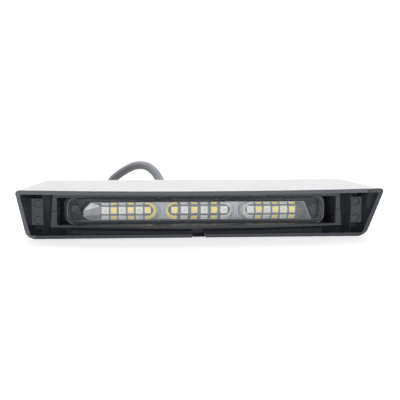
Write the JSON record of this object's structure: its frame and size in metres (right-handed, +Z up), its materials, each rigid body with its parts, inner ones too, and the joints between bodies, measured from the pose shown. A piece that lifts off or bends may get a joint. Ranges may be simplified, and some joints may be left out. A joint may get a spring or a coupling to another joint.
{
  "type": "recessed warning light",
  "caption": "Slim warning light: a white hood round a dark funnel-shaped bezel, a long LED light head behind it, a rear cover with mounting inserts and a coiled supply cable",
  "frame": {"origin": "On the flat base, on the centre line, half way along the base from its front edge to the hood's rear edge", "axes": "X runs across the light to its right as seen from the front, Y runs to the rear where it is mounted, and Z is up"},
  "size_m": [0.1893, 0.1911, 0.0324],
  "materials": {
    "white_shell": "satin white",
    "bezel_grey": "glossy dark grey",
    "frame_grey": "satin dark grey",
    "cover_grey": "fine grained",
    "dark_screw": "black coated steel",
    "plated_screw": "zinc plated",
    "clear_lens": "clear polycarbonate",
    "clear_optic": "clear moulded acrylic",
    "bright_reflector": "metallised",
    "clear_led": "clear encapsulant over a pale die",
    "phosphor_led": "yellow phosphor in a white frame",
    "board_black": "black solder resist",
    "chip_black": "moulded",
    "pad_rubber": "soft",
    "cast_base": "die cast",
    "resin_black": "cured resin",
    "seal_rubber": "matte",
    "foam_rubber": "closed-cell foam",
    "gland_rubber": "matte",
    "insert_brass": "turned",
    "cable_jacket": "satin grey jacket",
    "tie_nylon": "nylon"
  },
  "bodies": {
    "root": {"hood": "white_shell", "bezel": "bezel_grey", "fixing_screws": "dark_screw", "frame_lower": "frame_grey", "frame_upper": "frame_grey", "frame_screws": "plated_screw", "lens": "clear_lens", "lens_seal": "seal_rubber", "optic_left": "clear_optic", "optic_middle": "clear_optic", "optic_right": "clear_optic", "reflector": "bright_reflector", "clear_leds": "clear_led", "phosphor_leds": "phosphor_led", "circuit_board": "board_black", "driver_chips": "chip_black", "thermal_pad": "pad_rubber", "lamp_base": "cast_base", "potting": "resin_black", "lamp_screws": "plated_screw", "rear_cover": "cover_grey", "cover_screws": "plated_screw", "rear_seal": "foam_rubber", "mount_inserts": "insert_brass", "cable_gland": "gland_rubber", "cable": "cable_jacket", "cable_coil": "cable_jacket", "cable_tie": "tie_nylon", "cable_end": "cable_jacket"}
  },
  "joints": []
}
